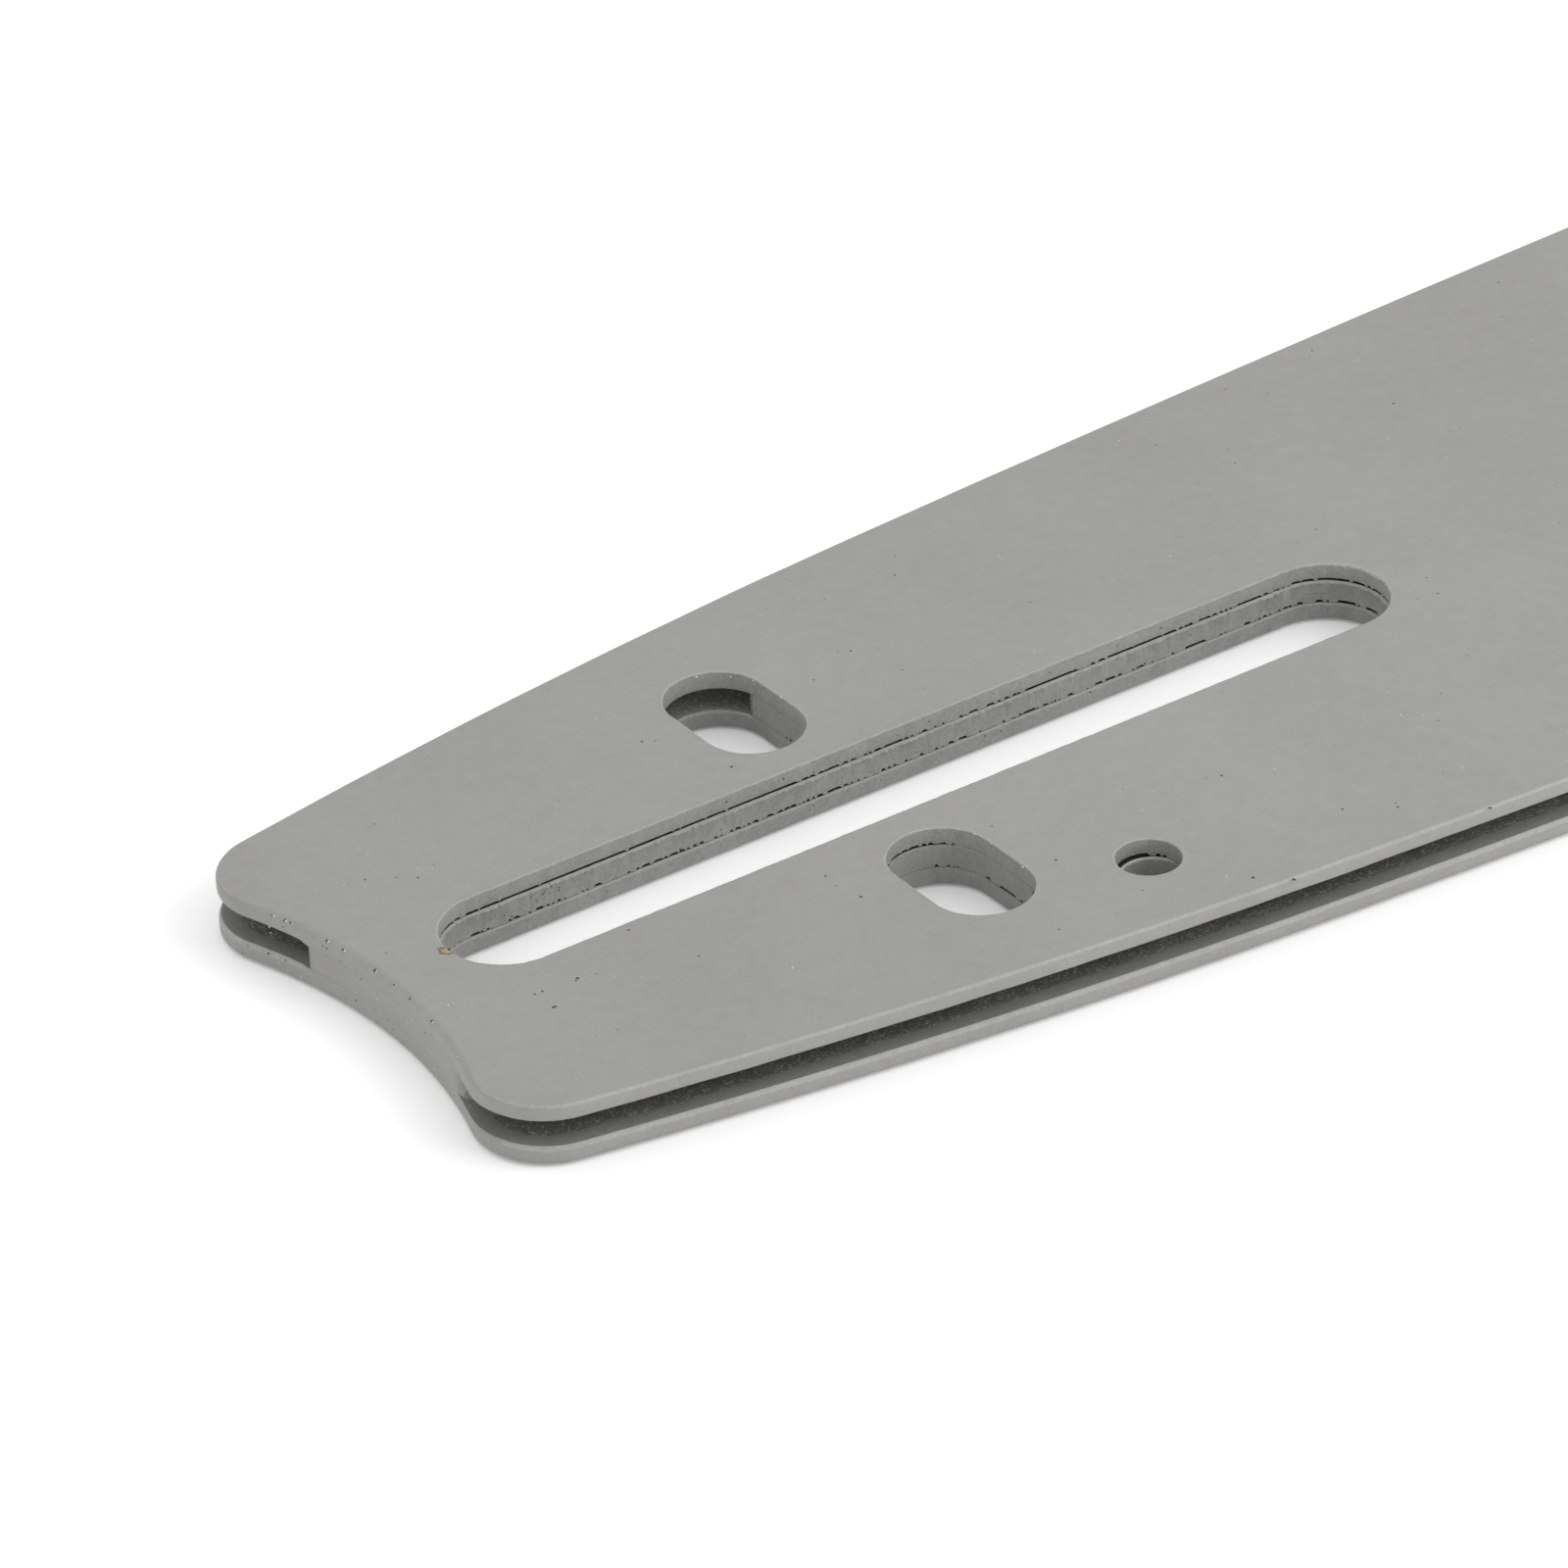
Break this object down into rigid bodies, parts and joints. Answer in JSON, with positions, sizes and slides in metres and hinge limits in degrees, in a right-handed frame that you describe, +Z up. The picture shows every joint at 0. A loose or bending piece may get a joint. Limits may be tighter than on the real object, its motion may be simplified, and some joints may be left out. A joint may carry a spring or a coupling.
{
  "type": "chainsaw guide bar",
  "caption": "Laminated steel chainsaw guide bar: slotted tail with adjuster and oil holes, chain groove all round, and a toothed nose sprocket on rollers.",
  "frame": {"origin": "midway between the two oblong adjuster holes, on the underside of the lower rail plate", "axes": "+X along the bar towards the nose, +Y across the bar, away from the side with the small oil hole, +Z up through the thickness"},
  "size_m": [0.4308, 0.0626, 0.004],
  "materials": {
    "rail_paint": "warm grey semi-matt paint",
    "core_steel": "grey paint thinning to raw steel in the groove",
    "bright_steel": "ground hardened steel, lightly oiled"
  },
  "bodies": {
    "bar": {"lower_rail_plate": "rail_paint", "core_plate": "core_steel", "upper_rail_plate": "rail_paint", "nose_race": "bright_steel", "nose_rivets": "bright_steel"},
    "sprocket": {"nose_sprocket": "bright_steel"},
    "roller_ring": {"nose_roller_01": "bright_steel", "nose_roller_02": "bright_steel", "nose_roller_03": "bright_steel", "nose_roller_04": "bright_steel", "nose_roller_05": "bright_steel", "nose_roller_06": "bright_steel", "nose_roller_07": "bright_steel", "nose_roller_08": "bright_steel", "nose_roller_09": "bright_steel", "nose_roller_10": "bright_steel", "nose_roller_11": "bright_steel", "nose_roller_12": "bright_steel", "nose_roller_13": "bright_steel", "nose_roller_14": "bright_steel", "nose_roller_15": "bright_steel", "nose_roller_16": "bright_steel", "nose_roller_17": "bright_steel", "nose_roller_18": "bright_steel", "nose_roller_19": "bright_steel", "nose_roller_20": "bright_steel", "nose_roller_21": "bright_steel", "nose_roller_22": "bright_steel", "nose_roller_23": "bright_steel", "nose_roller_24": "bright_steel"}
  },
  "joints": [
    {"name": "sprocket_spin", "type": "hinge", "parent": "bar", "child": "sprocket", "pos_m": [0.372, 0, 0.00208], "axis": [0, 0, 1], "continuous": true},
    {"name": "rollers_roll", "type": "hinge", "parent": "bar", "child": "roller_ring", "pos_m": [0.372, 0, 0.00208], "axis": [0, 0, 1], "continuous": true}
  ],
  "couplings": [
    {"joint": "rollers_roll", "follows": "sprocket_spin", "ratio": 0.56443}
  ]
}
